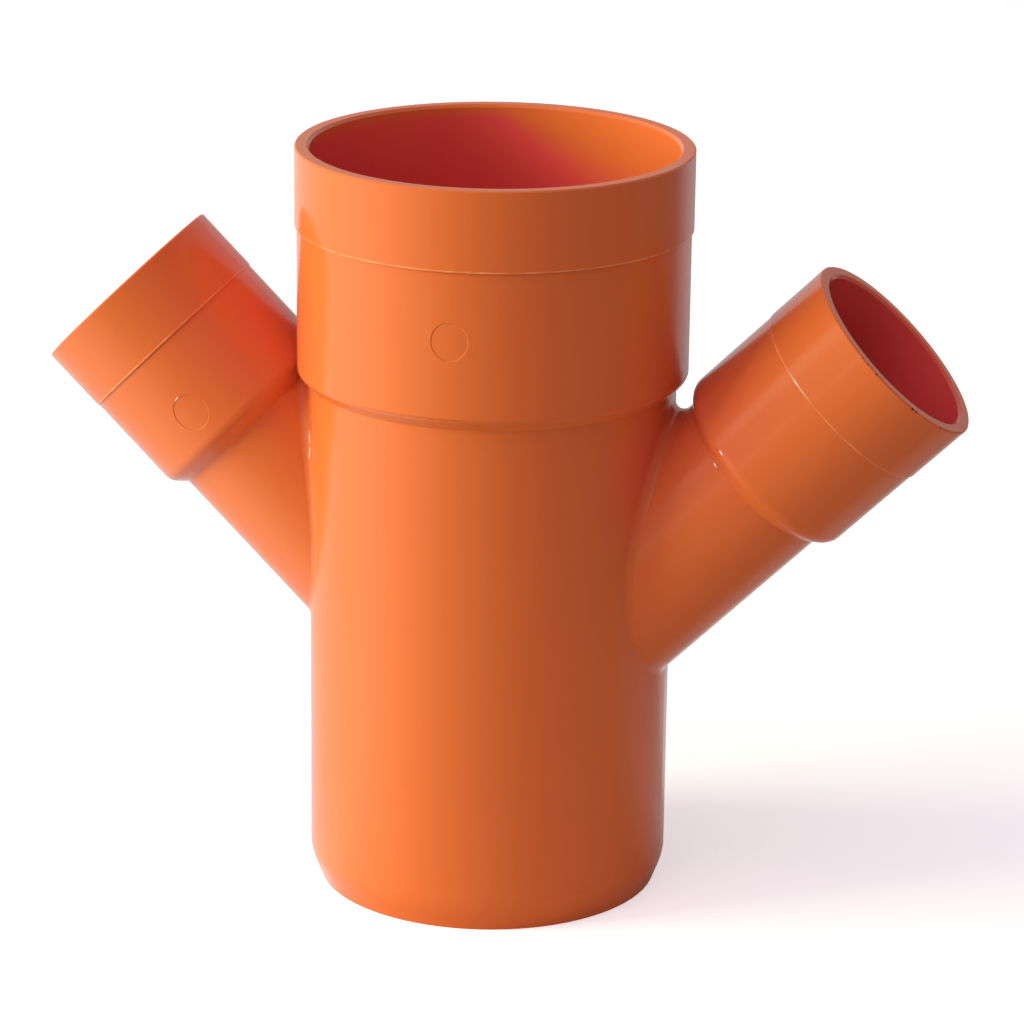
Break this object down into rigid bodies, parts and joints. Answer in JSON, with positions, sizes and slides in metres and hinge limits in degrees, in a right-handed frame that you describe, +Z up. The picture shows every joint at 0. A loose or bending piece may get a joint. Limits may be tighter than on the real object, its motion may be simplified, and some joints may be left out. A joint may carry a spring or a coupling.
{
  "type": "double wye fitting",
  "caption": "Moulded double wye drain fitting: upright barrel with a pipe socket on top, a plain spigot below and opposed socketed side branches at 45 degrees.",
  "frame": {"origin": "centre of the spigot's end, on the barrel's axis", "axes": "+Z up the barrel's axis to its socket; +X towards the right branch, -X towards the left one; both branches lie in the XZ plane"},
  "size_m": [0.2558, 0.1086, 0.2093],
  "materials": {
    "orange_pvc": "moulded PVC-U, semi-gloss, solid orange"
  },
  "bodies": {
    "root": {"double_wye_body": "orange_pvc"}
  },
  "joints": []
}
